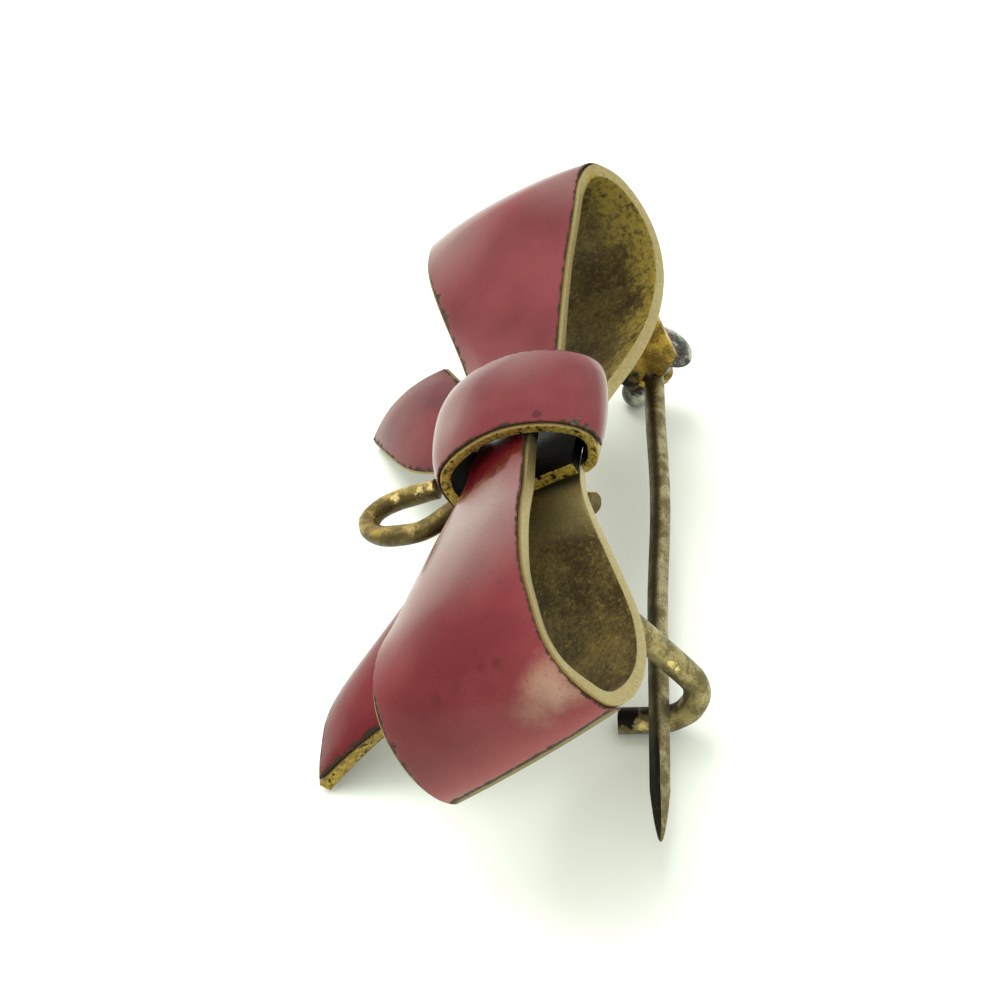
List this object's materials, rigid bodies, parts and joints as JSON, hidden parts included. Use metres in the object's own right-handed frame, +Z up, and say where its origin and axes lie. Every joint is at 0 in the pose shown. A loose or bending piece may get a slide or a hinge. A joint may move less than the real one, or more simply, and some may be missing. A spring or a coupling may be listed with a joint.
{
  "type": "bow brooch with watch hook",
  "caption": "Enamelled metal brooch shaped as a folded ribbon bow with two tails and a knot, with a watch hook below it and a hinged pin and open catch on its back.",
  "frame": {"origin": "Middle of the bottom of the bounding box, on the surface that the brooch lies on.", "axes": "X across the lying bow, from its tails towards its upper edges; Y along the bow, from the right loop with the catch to the left loop with the hinge, as worn; Z up, towards the bow's face."},
  "size_m": [0.0159, 0.0306, 0.0138],
  "materials": {
    "enamel": "glossy translucent rose-red enamel, worn milky in places and chipped along its edges",
    "gilt_metal": "worn gilt brass, pale on the rims and tarnished dark inside the loops",
    "gilt_wire": "gilt wire, rubbed bright on its outer side",
    "brass_wire": "tarnished brass wire, dark on one side",
    "bracket_brass": "brown-gold sheet brass with bright edges",
    "dark_steel": "blackened steel with grey worn spots"
  },
  "bodies": {
    "bow": {"right_loop": "gilt_metal", "left_loop": "gilt_metal", "right_loop_enamel": "enamel", "left_loop_enamel": "enamel", "right_tail": "gilt_metal", "left_tail": "gilt_metal", "right_tail_enamel": "enamel", "left_tail_enamel": "enamel", "knot_band": "gilt_metal", "knot_enamel": "enamel", "watch_hook": "gilt_wire", "catch": "brass_wire", "hinge_bracket": "bracket_brass", "hinge_rivet": "dark_steel"},
    "pin": {"pin_knuckle": "dark_steel", "pin_stem": "brass_wire"}
  },
  "joints": [
    {"name": "pin_swing", "type": "hinge", "parent": "bow", "child": "pin", "pos_m": [0.0051, 0.0131, 0.00292], "axis": [0.3909, 0, 0.9204], "range_deg": [0, 100], "deforming": ["pin_stem"]}
  ]
}
